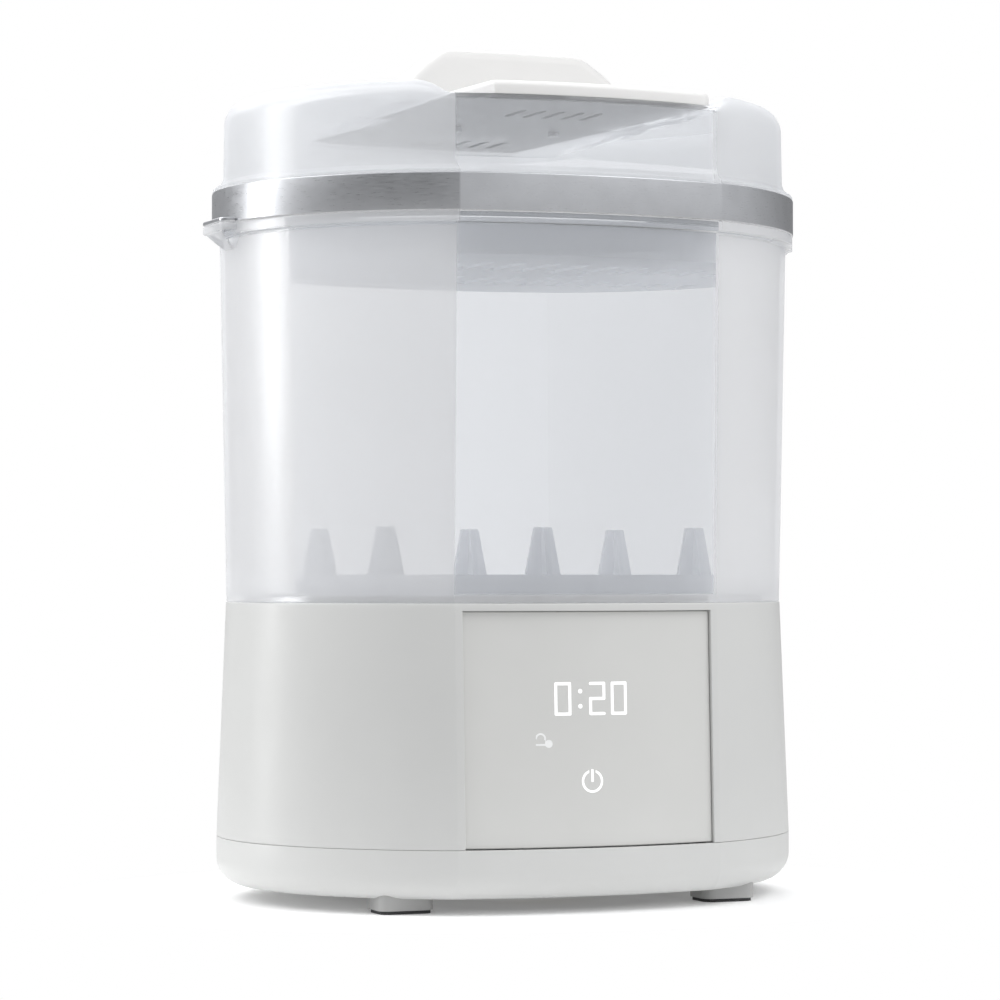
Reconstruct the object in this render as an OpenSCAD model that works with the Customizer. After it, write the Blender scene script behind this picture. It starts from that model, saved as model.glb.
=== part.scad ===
// Steam bottle steriliser and dryer: a base with water dish and blower, a see-through chamber with a bottle
// rack, an accessory tray and a lid with a grip. The parts stack along +Z. The origin is on the table under
// the middle of the base, and the control panel faces -Y.

/* [Body] */
// Width over the grey band of the lid
body_w = 270; // [260:1:280]
// Depth of the oval that shapes the two sides
side_d = 224.4; // [220:0.2:228]
// Radius of the bowed front and back faces
face_r = 236; // [225:1:250]
// Distance from the middle to each crease between a bowed face and an oval side
crease_x = 61.3; // [60:0.1:64]
// Thickness of the base mouldings
wall = 3; // [2.5:0.1:3.5]
// Thickness of the clear mouldings
clear_wall = 2.2; // [1.8:0.1:2.4]

/* [Heights] */
// Seam between the bumper and the base shell
seam_z = 27.7; // [26:0.1:30]
// Top of the base, where the chamber stands
base_z = 132.3; // [128:0.1:136]
// Top of the chamber's rim, where the lid stands
rim_z = 298.7; // [290:0.1:306]
// Height of the grey band
band_h = 16.1; // [14:0.1:18]
// Top of the lid's two frosted pods
pod_z = 356; // [355:0.5:360]
// Top of the grip
grip_z = 381; // [380:0.5:386]

/* [Base] */
// Gap between the table and the underside of the base
ground_gap = 8.5; // [8:0.5:10]
// Half width of the front control panel
panel_x = 57.7; // [56:0.1:60]
// Radius of the water dish's opening
dish_r = 66; // [60:1:66]
// Radius of the blower tube
fan_r = 28.5; // [24:0.5:29]
// Number of fan blades
blades = 7; // [5:1:9]

/* [Racks] */
// Height of the pegs over the bottle rack
peg_h = 24; // [20:1:60]
// Bottle places along the width
places_x = 3; // [2:1:3]
// Distance between two bottle places
place_pitch = 74; // [70:1:76]

/* [Display] */
// Height of a digit
digit_h = 14.2; // [12:0.1:15]
// Width of a digit
digit_w = 7.6; // [7:0.1:8]
// Width of a lit stroke
stroke = 1.3; // [1:0.1:1.6]
// Height of the digits' middle over the table
digits_z = 91.5; // [88:0.5:96]
// Sideways place of the digits and the power symbol
display_x = -1.6; // [-4:0.1:4]

/* [Hidden] */
$fn = 96;

side_ratio = side_d / body_w;
half_w = body_w / 2;
fit = 0.1;       // gap between parts that lift apart
snug = 0.05;     // gap between parts that are fixed together
edge_steps = 6;  // straight steps in a rounded edge of a profile

bumper_w = 132.5;
base_top_w = 128.3;
chamber_w0 = 128.1;
chamber_w1 = 131.4;
rim_w = 134.6;
band_w = half_w;
skirt_w = 130.2;
lid_w = 129.4;
rim_under_z = rim_z - 6;
tray_shelf_z = rim_z - 4.7;
band_shelf_z = rim_z + fit + 1.6;
band_top_z = rim_z + fit + band_h;
spigot_w = 119.4;
bottom_r = 12;
pod_r = 10;
channel_x = 61;
channel_z = 349;
inner_r = 14;
plate_top_z = 355;
plate_y = 101.5;
vent_y = 56;
vent_half = 12;

dish_x = -40;
dish_floor_z = 118;
fan_x = 74;
filter_x = 30;
filter_w = 42;
filter_z0 = 36;
filter_h = 20;
filter_y = 96.5;
seat_x = 26;
seat_z = 5;
well_r = 81;
well_roof_z = 18.5;
cord_d = 6;
cord_z = 12;
turn_r = 62;
turn_pitch = 7;
cord_bend = 6;
cord_start_y = -4;
cord_end = [-turn_r - 2 * turn_pitch, cord_start_y - cord_bend];
cord_rise = 30;
foot_x = 76;
foot_y = 68;
panel_z0 = 28.6;
panel_z1 = 128.6;
panel_skin = 2;
panel_deep = 3.7;
ledge_deep = 3.8;
back_deep = 5.4;
lit_deep = panel_skin + 0.5;
display_y = -92.4;
display_post_x = 44;
display_post_z = [50, 104];
ribbon_x = -41;
board_x0 = -98;
board_x1 = -18;
board_y0 = 6;
board_y1 = 58;
board_z = 26;
board_top_z = board_z + 1.6 + snug;
post_x = 109.5;
post_y = 22;
post_z = 23.5;
screw_seat_z = 13;
stud_x = 73;
stud_y = 61;
bracket_y = 77;
fan_lug_z = 118;
fan_turns = [0, 120, 240];
mode_z = 73.8;
mode_x = display_x - 23.4;
power_z = 56.3;
rack_z = base_z + 3;
rack_w = 124.2;
rack_h = 9;
place_y = 44;
tray_floor_z = 281;
lug_x = 140;
lug_half = 15;

white = [0.93, 0.93, 0.92];
warm_grey = [0.83, 0.83, 0.82];
band_grey = [0.60, 0.61, 0.63];
clear = [0.86, 0.88, 0.92, 0.55];
frost = [0.90, 0.91, 0.93, 0.8];
steel = [0.75, 0.76, 0.78];
dark = [0.12, 0.12, 0.13];
silicone = [0.80, 0.80, 0.78];
board_green = [0.10, 0.35, 0.18];
glow = [0.98, 0.99, 1.0];
copper = [0.72, 0.45, 0.25];
paper = [0.92, 0.92, 0.88];

// ---------------------------------------------------------------- shared shapes

// Distance from the middle to the oval at the crease, and to the middle of the bowed face, at a half width
function crease_y(w) = side_ratio * sqrt(w * w - crease_x * crease_x);
function face_at(w) = crease_y(w) + face_r - sqrt(face_r * face_r - crease_x * crease_x);
face_y = face_at(half_w);

// Points of an arc in a profile: middle (x, z), radius and the two angles
function arc(x, z, r, a0, a1) =
    [for (i = [0 : edge_steps]) let (a = a0 + (a1 - a0) * i / edge_steps) [x + r * cos(a), z + r * sin(a)]];

// A solid with the steriliser's plan: oval sides cut by a bowed front and a bowed back. The profile lists
// [half width, height] from the bottom to the top.
module form(profile) {
    bottom = [[0, profile[0][1]]];
    top = [[0, profile[len(profile) - 1][1]]];
    oval = concat(bottom, profile, top);
    bowed = concat(bottom, [for (p = profile) [face_r + face_at(p[0]) - face_y, p[1]]], top);
    intersection() {
        scale([1, side_ratio, 1]) rotate_extrude() polygon(oval);
        translate([0, face_r - face_y, 0]) rotate_extrude() polygon(bowed);
        translate([0, face_y - face_r, 0]) rotate_extrude() polygon(bowed);
    }
}

// A box between two corners
module span(a, b) {
    translate(a) cube(b - a);
}

// A flat outline drawn in X and Z, pushed through the front wall
module through_front(y0, y1) {
    translate([0, y1, 0]) rotate([90, 0, 0]) linear_extrude(y1 - y0) children();
}

// A flat outline drawn in X and Z, centred along Y
module along_y(depth) {
    rotate([90, 0, 0]) linear_extrude(depth, center = true) children();
}

module at_corners(x, y) {
    for (sx = [-1, 1], sy = [-1, 1]) translate([sx * x, sy * y, 0]) children();
}

// A pan-head screw that points up, its head's underside at the origin
module screw(d, length) {
    translate([0, 0, -2]) cylinder(h = 2, d = 2 * d);
    cylinder(h = length, d = d);
}

// A round wire that runs straight from point to point, with a slightly fuller bend at each point
module wire(points, r) {
    for (i = [0 : len(points) - 2]) {
        a = points[i];
        d = points[i + 1] - a;
        translate(a) rotate([0, acos(d[2] / norm(d)), atan2(d[1], d[0])]) cylinder(h = norm(d), r = r);
        if (i > 0) translate(a) sphere(1.25 * r);
    }
}

// A flat rounded rectangle
module rounded(w, d, r) {
    square([w - 2 * r, d], center = true);
    square([w, d - 2 * r], center = true);
    for (sx = [-1, 1], sy = [-1, 1]) translate([sx * (w / 2 - r), sy * (d / 2 - r)]) circle(r);
}

// ---------------------------------------------------------------- base mouldings

function bumper_profile(t) = concat(
    arc(bumper_w - bottom_r, ground_gap + bottom_r, bottom_r - t, -90, 0),
    [[bumper_w - t, seam_z + (t > 0 ? 1 : 0)]]);

function base_w(z) = bumper_w + (base_top_w - bumper_w) * (z - seam_z) / (base_z - seam_z);

module cord_hooks() {
    for (a = [45 : 90 : 315]) rotate(a) translate([well_r - 9, -5, ground_gap - 2]) cube([12, 10, 2]);
}

module at_board_posts() {
    for (x = [board_x0 + 6, board_x1 - 6], y = [board_y0 + 6, board_y1 - 6]) translate([x, y, 0]) children();
}

module lower_housing() {
    floor_z = ground_gap + 1;
    color(white) difference() {
        union() {
            difference() {
                form(bumper_profile(0));
                form(bumper_profile(wall));
            }
            // Roof over the cord well
            translate([0, 0, ground_gap]) cylinder(h = well_roof_z + 2.5 - ground_gap, r = well_r + 2.5);
            at_board_posts() translate([0, 0, floor_z]) cylinder(h = board_z - floor_z, r = 3.5);
            at_corners(post_x, post_y) translate([0, 0, floor_z]) cylinder(h = post_z - floor_z, r = 4.5);
            cord_hooks();
        }
        difference() {
            translate([0, 0, ground_gap - 1]) cylinder(h = well_roof_z - ground_gap + 1, r = well_r);
            cord_hooks();
        }
        at_board_posts() translate([0, 0, board_z - 4.5]) cylinder(h = 5, r = 1.25);
        at_corners(post_x, post_y) cylinder(h = 40, r = 1.7);
        at_corners(post_x, post_y) cylinder(h = screw_seat_z, r = 3.4);
        at_corners(stud_x, stud_y) cylinder(h = 20, r = 3 + snug);
        translate([cord_end[0], cord_end[1], 0]) cylinder(h = 30, r = 5 + snug);
        // Vents under the power board
        for (i = [0 : 4]) translate([-108 + 5 * i, 0, ground_gap]) span([-1, -12, -1], [1, 0, 5]);
    }
}

module front_window() {
    span([-panel_x - 0.3, -face_y, panel_z0 - 0.6], [panel_x + 0.3, -face_y + 20, panel_z1 + 0.3]);
}

module base_shell() {
    outer = [[bumper_w, seam_z + 0.4], [base_top_w, base_z - fit]];
    inner = [[bumper_w - wall, seam_z - 1], [base_w(base_z - 4) - wall, base_z - 4]];
    color(white) difference() {
        union() {
            difference() {
                form(outer);
                form(inner);
            }
            // Thicker wall behind the control panel
            difference() {
                intersection() {
                    span([-panel_x - 2, -face_y, seam_z + 0.4], [panel_x + 2, -60, base_z - 3]);
                    form([[bumper_w - 1, seam_z], [base_top_w - 1, base_z - fit]]);
                }
                form([[base_w(seam_z) - back_deep, seam_z - 1], [base_w(base_z) - back_deep, base_z]]);
            }
            // Raised wall that centres the chamber and keeps the condensate in
            difference() {
                form([[spigot_w, base_z - 1], [spigot_w - 0.2, base_z + 2.6]]);
                form([[spigot_w - 2.6, base_z - 2], [spigot_w - 2.8, base_z + 3]]);
            }
            // Screw posts that meet the lower housing
            at_corners(post_x, post_y) translate([0, 0, post_z + fit])
                cylinder(h = base_z - 3 - post_z, r = 4.5);
            // Posts for the heater bracket and the blower tube
            for (s = [-1, 1]) translate([dish_x, s * bracket_y, 100]) cylinder(h = 30, r = 5);
            at_fan_posts() translate([0, 0, fan_lug_z]) cylinder(h = base_z - 3 - fan_lug_z, r = 4);
            // Posts that carry the display board, each on a rib from the side of the window
            at_display_posts() rotate([90, 0, 0]) cylinder(h = 3, r = 3);
            at_display_posts() mirror([$side > 0 ? 0 : 1, 0, 0]) span([-2, -2.4, -1.5], [15.5, -0.5, 1.5]);
        }
        // Recess for the control panel, and the window behind it
        difference() {
            front_window();
            form([[base_w(panel_z0) - ledge_deep, panel_z0 - 1],
                [base_w(panel_z1 + 1) - ledge_deep, panel_z1 + 1]]);
        }
        span([-47, -face_y, 42], [47, -face_y + 14, 114]);
        translate([dish_x, 0, base_z - 10]) cylinder(h = 20, r = dish_r + 1);
        translate([fan_x, 0, base_z - 10]) cylinder(h = 20, r = fan_r - 2);
        // Slot for the air filter, with a seat for its cover
        span([filter_x - filter_w / 2 - 2, 60, filter_z0 - 2],
            [filter_x + filter_w / 2 + 2, face_y, filter_z0 + filter_h + 2]);
        difference() {
            span([filter_x - seat_x, 60, filter_z0 - seat_z],
                [filter_x + seat_x, face_y, filter_z0 + filter_h + seat_z]);
            form([[base_w(30) - 1.7, 28], [base_w(64) - 1.7, 64]]);
        }
        at_corners(post_x, post_y) cylinder(h = 70, r = 1.5);
        for (s = [-1, 1]) translate([dish_x, s * bracket_y, 95]) cylinder(h = 22, r = 1.5);
        at_fan_posts() translate([0, 0, fan_lug_z - 1]) cylinder(h = 10, r = 1.5);
        at_display_posts() translate([0, 1, 0]) rotate([90, 0, 0]) cylinder(h = 6, r = 1);
    }
}

// ---------------------------------------------------------------- control panel

module stroke_bar(a, b, w) {
    d = b - a;
    translate(a) rotate(atan2(d[1], d[0])) translate([0, -w / 2]) square([norm(d), w]);
    translate(a) circle(d = w, $fn = 24);
    translate(b) circle(d = w, $fn = 24);
}

// One digit of seven bars, in the order top, upper right, lower right, bottom, lower left, upper left, middle
module digit(lit, w) {
    x = (digit_w - stroke) / 2;
    z = (digit_h - stroke) / 2;
    bars = [[[-x, z], [x, z]], [[x, z], [x, 0]], [[x, 0], [x, -z]], [[-x, -z], [x, -z]],
        [[-x, -z], [-x, 0]], [[-x, 0], [-x, z]], [[-x, 0], [x, 0]]];
    for (i = lit) stroke_bar(bars[i][0], bars[i][1], w);
}

module digits_outline(grow) {
    zero = [0, 1, 2, 3, 4, 5];
    two = [0, 1, 6, 4, 3];
    pitch = 10.2;
    w = stroke + 2 * grow;
    translate([display_x, digits_z]) {
        translate([-13, 0]) digit(zero, w);
        translate([13 - pitch, 0]) digit(two, w);
        translate([13, 0]) digit(zero, w);
        for (s = [-1, 1]) translate([-5.1, s * 3.2]) circle(d = 1.9 + 2 * grow, $fn = 24);
    }
}

// A puff of steam over a small disc
module mode_outline(grow) {
    translate([mode_x, mode_z]) {
        difference() {
            union() {
                translate([-2.2, -0.2]) circle(1.9 + grow, $fn = 32);
                translate([0.2, 0.9]) circle(2.4 + grow, $fn = 32);
                translate([-2.2, -2.1 - grow]) square([4.6, 2.4]);
            }
            translate([-2.2, -0.2]) circle(1.1 - grow, $fn = 32);
            translate([0.2, 0.9]) circle(1.6 - grow, $fn = 32);
            translate([-2.2, -1.3 + grow]) square([4.4, 1.6 - 2 * grow]);
        }
        translate([3.8, -1.3]) circle(1.7 + grow, $fn = 32);
    }
}

module power_outline(grow) {
    w = 1.0;
    translate([display_x, power_z]) {
        difference() {
            circle(4.9 + grow, $fn = 48);
            circle(4.9 - w - grow, $fn = 48);
            translate([-1.5 + grow, 0]) square([3 - 2 * grow, 8]);
        }
        translate([-w / 2 - grow, -0.3 - grow]) square([w + 2 * grow, 5.4 + 2 * grow]);
    }
}

// A curved plate that follows the base's front face, from skin to deep below it
module panel_layer(skin, deep) {
    difference() {
        form([[base_w(panel_z0) - skin, panel_z0], [base_w(panel_z1) - skin, panel_z1]]);
        form([[base_w(panel_z0) - deep, panel_z0 - 1], [base_w(panel_z1) - deep, panel_z1 + 1]]);
    }
}

module front_panel() {
    color(warm_grey) difference() {
        intersection() {
            panel_layer(panel_skin, panel_deep);
            span([-panel_x, -face_y - 1, panel_z0], [panel_x, -face_y + 20, panel_z1]);
        }
        difference() {
            through_front(-face_y - 1, -face_y + 12) {
                digits_outline(0.02);
                mode_outline(0.02);
                power_outline(0.02);
            }
            form([[base_w(panel_z0) - lit_deep - 0.02, panel_z0 - 1],
                [base_w(panel_z1) - lit_deep - 0.02, panel_z1 + 1]]);
        }
    }
}

// A light window set into the panel's front
module lit_window() {
    intersection() {
        panel_layer(panel_skin, lit_deep);
        through_front(-face_y - 1, -face_y + 12) children();
    }
}

module display_digits() {
    color(glow) lit_window() digits_outline(0);
}

module mode_symbol() {
    color(glow) lit_window() mode_outline(0);
}

module power_symbol() {
    color(glow) lit_window() power_outline(0);
}

module at_display_posts() {
    for ($side = [-1, 1], z = display_post_z) translate([$side * display_post_x, display_y, z]) children();
}

module display_board() {
    color(board_green) difference() {
        span([-47, display_y + snug, 44], [47, display_y + 1.65, 110]);
        at_display_posts() translate([0, 5, 0]) rotate([90, 0, 0]) cylinder(h = 10, r = 1.4);
    }
}

module led_module() {
    color(dark) span([display_x - 19, display_y - 5, digits_z - 9], [display_x + 19, display_y, digits_z + 9]);
    color(dark) span([mode_x - 6, display_y - 5, mode_z - 5], [mode_x + 6, display_y, mode_z + 5]);
}

module touch_foam() {
    panel_back_y = face_at(base_w(power_z) - panel_deep);
    color(dark) translate([display_x, display_y, power_z]) rotate([90, 0, 0])
        cylinder(h = panel_back_y + display_y - 0.4, r = 6.5);
}

module buzzer() {
    color(dark) difference() {
        translate([32, display_y + 1.7, 60]) rotate([-90, 0, 0]) cylinder(h = 7, r = 6);
        translate([32, display_y + 7, 60]) rotate([-90, 0, 0]) cylinder(h = 4, r = 1);
    }
}

module ribbon_cable() {
    w = 14;
    t = 1;
    y0 = display_y + 1.7;
    color([0.75, 0.75, 0.77]) {
        span([ribbon_x, y0, 46], [ribbon_x + w, y0 + 4, 49]);
        span([ribbon_x, y0 + 3, 46], [ribbon_x + w, y0 + 3 + t, 66]);
        span([ribbon_x, y0 + 3, 65], [ribbon_x + w, 14, 65 + t]);
        span([ribbon_x, 13, board_top_z], [ribbon_x + w, 13 + t, 66]);
    }
}

// ---------------------------------------------------------------- power board

module power_board() {
    color(board_green) difference() {
        span([board_x0, board_y0, board_z + snug], [board_x1, board_y1, board_z + 1.6]);
        at_board_posts() cylinder(h = 60, r = 1.6);
    }
}

module transformer() {
    color([0.85, 0.78, 0.2]) span([-84, 24, board_top_z], [-64, 42, board_top_z + 5]);
    color(dark) span([-82, 22, board_top_z + 5], [-66, 44, board_top_z + 17]);
}

module relay() {
    color([0.1, 0.2, 0.5]) span([-58, 34, board_top_z], [-39, 50, board_top_z + 16]);
}

module capacitors() {
    color(dark) for (x = [-54, -41]) translate([x, 22, board_top_z]) {
        cylinder(h = 19, r = 5);
        cylinder(h = 1, r = 5.3);
    }
}

module board_screws() {
    color(steel) {
        at_board_posts() translate([0, 0, board_top_z]) mirror([0, 0, 1]) screw(2.4, 6);
        at_display_posts() translate([0, 1.7, 0]) rotate([90, 0, 0]) screw(1.9, 4);
    }
}

// Mains wires from the lead's end to the power board
module mains_leads() {
    top = cord_z + cord_rise + snug;
    for (i = [0, 1]) color(i == 0 ? [0.1, 0.25, 0.6] : [0.45, 0.25, 0.12])
        let (x = cord_end[0] + 1.2 - 2.4 * i, y = cord_end[1], to_x = -72 - 12 * i, to_y = board_y0 + 6)
            wire([[x, y, top], [x, y, top + 8], [to_x, to_y, top + 8], [to_x, to_y, board_top_z]], 0.9);
}

// ---------------------------------------------------------------- heater

module about_dish() {
    translate([dish_x, 0, 0]) children();
}

module heater_dish() {
    t = 1.2;
    deck = base_z + 1;
    outer = concat([[0, dish_floor_z]], arc(dish_r - 9, dish_floor_z + 7, 7, -90, -15),
        [[dish_r - t, deck], [dish_r + 5, deck]]);
    inner = concat([[dish_r + 5, deck + t], [dish_r - 2 * t, deck + t]],
        arc(dish_r - 9, dish_floor_z + 7, 7 - t, -15, -90), [[0, dish_floor_z + t]]);
    color(steel) about_dish() rotate_extrude() polygon(concat(outer, inner));
}

module dish_gasket() {
    color(silicone) about_dish() difference() {
        translate([0, 0, base_z]) cylinder(h = 1 - snug, r = dish_r + 4.5);
        translate([0, 0, base_z - 1]) cylinder(h = 4, r = dish_r + 0.4);
    }
    color(silicone) about_dish() difference() {
        translate([0, 0, base_z - 4]) cylinder(h = 4, r = dish_r + 0.9);
        translate([0, 0, base_z - 5]) cylinder(h = 6, r = dish_r + 0.1);
    }
}

spreader_z = dish_floor_z - 3 - snug;
y0_lead = board_y0 + 13;

module heat_spreader() {
    color([0.8, 0.81, 0.83]) about_dish() translate([0, 0, spreader_z]) difference() {
        cylinder(h = 3, r = 54);
        for (s = [-1, 1]) translate([s * 12, 0, -1]) cylinder(h = 3, r = 1.5);
    }
}

module heating_element() {
    tube = 3.6;
    z = spreader_z - tube - snug;
    color([0.45, 0.45, 0.47]) about_dish() translate([0, 0, z]) {
        rotate(200) rotate_extrude(angle = 320) translate([42, 0]) circle(tube, $fn = 32);
        for (a = [200, 160]) rotate(a) translate([42, 0, -14]) cylinder(h = 14, r = tube, $fn = 32);
        for (a = [200, 160]) rotate(a) translate([42, 0, -20]) cylinder(h = 7, r = 1.6, $fn = 32);
    }
}

module thermostat() {
    color(dark) about_dish() translate([0, 0, spreader_z - 10 - snug]) {
        cylinder(h = 10, r = 8);
        span([-15, -3.5, 9], [15, 3.5, 10]);
    }
    color(steel) about_dish() for (s = [-1, 1]) translate([s * 5, 0, spreader_z - 17])
        span([-0.4, -3, 0], [0.4, 3, 8]);
}

module thermal_fuse() {
    sleeve_r = 2.6;
    z = spreader_z - sleeve_r - snug;
    about_dish() {
        color(white) translate([-9, 22, z]) rotate([0, 90, 0]) cylinder(h = 18, r = sleeve_r, $fn = 32);
        color(steel) translate([-19, 22, z]) rotate([0, 90, 0]) cylinder(h = 38, r = 0.6, $fn = 32);
    }
}

module heater_bracket() {
    z = 100 - snug;
    color(steel) about_dish() difference() {
        union() {
            span([-13, -84, z - 2], [13, 84, z]);
            for (s = [-1, 1]) span([-8, s * 30 - 1, z - 2], [8, s * 30 + 1, spreader_z - snug]);
        }
        for (s = [-1, 1]) translate([0, s * bracket_y, 90]) cylinder(h = 20, r = 2.2);
        translate([0, 0, 90]) cylinder(h = 20, r = 10);
    }
}

module deck_screws() {
    color(steel) {
        about_dish() for (s = [-1, 1]) translate([0, s * bracket_y, 98 - snug - 0.02]) screw(2.9, 14);
        at_fan_posts() translate([0, 0, fan_lug_z - 4 - snug - 0.02]) screw(2.9, 11);
    }
}

// Wires from the element's two ends to the power board
module heater_leads() {
    top = spreader_z - 3.6 - snug - 20 - snug;
    x = dish_x - 42 * cos(20);
    y = 42 * sin(20);
    color([0.75, 0.2, 0.15]) {
        wire([[x, y, top], [x, y, 52], [x, y0_lead, 52], [x, y0_lead, board_top_z]], 1.2);
        wire([[x, -y, top], [x, -y, 48], [x - 10, y0_lead, 48], [x - 10, y0_lead, board_top_z]], 1.2);
    }
}

// ---------------------------------------------------------------- blower

module about_fan() {
    translate([fan_x, 0, 0]) children();
}

module at_fan_posts() {
    for (a = fan_turns) translate([fan_x, 0, 0]) rotate(a) translate([fan_r + 8, 0, 0]) children();
}

module fan_housing() {
    bottom = 62;
    top = base_z - 4 - snug;
    color(white) about_fan() difference() {
        union() {
            difference() {
                translate([0, 0, bottom]) cylinder(h = top - bottom, r = fan_r + 2);
                translate([0, 0, bottom - 1]) cylinder(h = top, r = fan_r);
            }
            for (a = fan_turns) rotate(a)
                span([fan_r + 1, -5, fan_lug_z - 4], [fan_r + 12, 5, fan_lug_z - snug]);
            // Spider that carries the motor
            for (a = fan_turns) rotate(a) span([14, -1.5, 92], [fan_r + 1, 1.5, 100]);
            translate([0, 0, 92]) cylinder(h = 8, r = 17);
        }
        translate([0, 0, 80]) cylinder(h = 30, r = 15 + snug);
        for (a = fan_turns) rotate(a) translate([fan_r + 8, 0, fan_lug_z - 10]) cylinder(h = 20, r = 1.7);
    }
}

module fan_motor() {
    color(steel) about_fan() difference() {
        union() {
            translate([0, 0, 89]) cylinder(h = 16, r = 15);
            translate([0, 0, 105]) cylinder(h = 3, r = 5);
        }
        translate([0, 0, 80]) cylinder(h = 26, r = 1.5 + 0.05);
    }
}

module fan_shaft() {
    color(steel) about_fan() translate([0, 0, 70]) cylinder(h = 34, r = 1.5);
}

module fan_impeller() {
    hub = 10;
    color([0.25, 0.27, 0.3]) about_fan() difference() {
        union() {
            translate([0, 0, 71]) cylinder(h = 14, r = hub);
            intersection() {
                translate([0, 0, 70]) cylinder(h = 16, r = fan_r - 1);
                for (i = [0 : blades - 1]) rotate(i * 360 / blades) translate([hub - 1, 0, 78])
                    rotate([38, 0, 0]) span([0, -9, -0.8], [fan_r, 9, 0.8]);
            }
        }
        translate([0, 0, 60]) cylinder(h = 40, r = 1.5);
    }
}

module air_heater() {
    z = 111;
    color(copper) about_fan() {
        difference() {
            translate([0, 0, z]) cylinder(h = 10, r = fan_r - snug);
            translate([0, 0, z - 1]) cylinder(h = 12, r = fan_r - 3);
        }
        for (i = [-4 : 4]) let (half = sqrt(pow(fan_r - 2, 2) - 25 * i * i))
            span([-half, 5 * i - 0.6, z + 1], [half, 5 * i + 0.6, z + 9]);
    }
}

module outlet_gasket() {
    color(silicone) about_fan() difference() {
        translate([0, 0, base_z]) cylinder(h = 1, r = fan_r + 1.5);
        translate([0, 0, base_z - 1]) cylinder(h = 4, r = fan_r - 2);
    }
}

module outlet_cap() {
    z = base_z + 1 + snug;
    color(white) about_fan() difference() {
        translate([0, 0, z]) cylinder(h = 1.8, r = fan_r + 2);
        for (i = [0 : 11]) rotate(30 * i) span([9, -1.6, z - 1], [fan_r - 4, 1.6, z + 3]);
    }
}

module intake_duct() {
    t = 1.6;
    x0 = filter_x - filter_w / 2 - t - fit;
    x1 = filter_x + filter_w / 2 + t + fit;
    z0 = filter_z0 - t - fit;
    z1 = filter_z0 + filter_h + t + fit;
    color(frost) difference() {
        union() {
            span([x0, -32, z0], [104, 50, 62 - snug]);
            span([x0, 49, z0], [x1, 97, z1]);
        }
        span([x0 + t, -32 + t, z0 + t], [104 - t, 50 - t, 62 - snug - t]);
        span([x0 + t, 40, z0 + t], [x1 - t, 120, z1 - t]);
        about_fan() translate([0, 0, 50]) cylinder(h = 20, r = fan_r - 1);
    }
}

// ---------------------------------------------------------------- air filter, drawn out of the back

module filter_frame() {
    t = 1.5;
    x0 = filter_x - filter_w / 2;
    x1 = filter_x + filter_w / 2;
    z1 = filter_z0 + filter_h;
    color(white) difference() {
        span([x0, 54, filter_z0], [x1, filter_y - snug, z1]);
        span([x0 + t, 53, filter_z0 + t], [x1 - t, filter_y + 1, z1 - t]);
    }
}

module filter_media() {
    t = 1.5;
    x0 = filter_x - filter_w / 2 + t;
    x1 = filter_x + filter_w / 2 - t;
    folds = 18;
    step = (x1 - x0) / folds;
    z0 = filter_z0 + t;
    z1 = filter_z0 + filter_h - t;
    front = [for (i = [0 : folds]) [x0 + i * step, i % 2 == 0 ? 58 : 86]];
    back = [for (i = [folds : -1 : 0]) [x0 + i * step, i % 2 == 0 ? 64 : 92]];
    color(paper) translate([0, 0, z0]) linear_extrude(z1 - z0) polygon(concat(front, back));
}

module filter_cover() {
    gap = 0.4;
    x0 = filter_x - seat_x + gap;
    x1 = filter_x + seat_x - gap;
    z0 = filter_z0 - seat_z + gap;
    z1 = filter_z0 + filter_h + seat_z - gap;
    color(white) difference() {
        union() {
            intersection() {
                difference() {
                    form([[base_w(28) - 0.1, 28], [base_w(64) - 0.1, 64]]);
                    form([[base_w(28) - 1.6, 27], [base_w(64) - 1.6, 65]]);
                }
                span([x0, 60, z0], [x1, face_y, z1]);
            }
            difference() {
                span([filter_x - filter_w / 2, filter_y, filter_z0],
                    [filter_x + filter_w / 2, 103.2, filter_z0 + filter_h]);
                span([filter_x - filter_w / 2 + 2, filter_y - 1, filter_z0 + 2],
                    [filter_x + filter_w / 2 - 2, 105, filter_z0 + filter_h - 2]);
                difference() {
                    span([-100, filter_y - 1, 20], [100, 120, 70]);
                    form([[base_w(28) - 1, 19], [base_w(64) - 1, 71]]);
                }
            }
        }
        for (i = [0 : 5]) translate([filter_x - 15 + 6 * i, 0, 0])
            span([-1.2, 90, filter_z0 + 4], [1.2, face_y, filter_z0 + filter_h - 4]);
    }
}

// ---------------------------------------------------------------- feet and fasteners

module feet() {
    color(warm_grey) {
        difference() {
            at_corners(foot_x, foot_y) translate([0, 0, 1.5]) linear_extrude(14) rounded(25, 20, 5);
            form(bumper_profile(-snug));
        }
        at_corners(stud_x, stud_y) translate([0, 0, 5]) cylinder(h = 9, r = 3);
    }
}

module foot_soles() {
    color(dark) at_corners(foot_x, foot_y) linear_extrude(1.5 - 0.02) rounded(23, 18, 4);
}

module housing_screws() {
    color(steel) at_corners(post_x, post_y) translate([0, 0, screw_seat_z - 0.02]) screw(2.9, 24);
}

// ---------------------------------------------------------------- mains lead, wound up under the base

module half_turn(r) {
    rotate_extrude(angle = 180) translate([r, 0]) circle(d = cord_d, $fn = 32);
}

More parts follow.
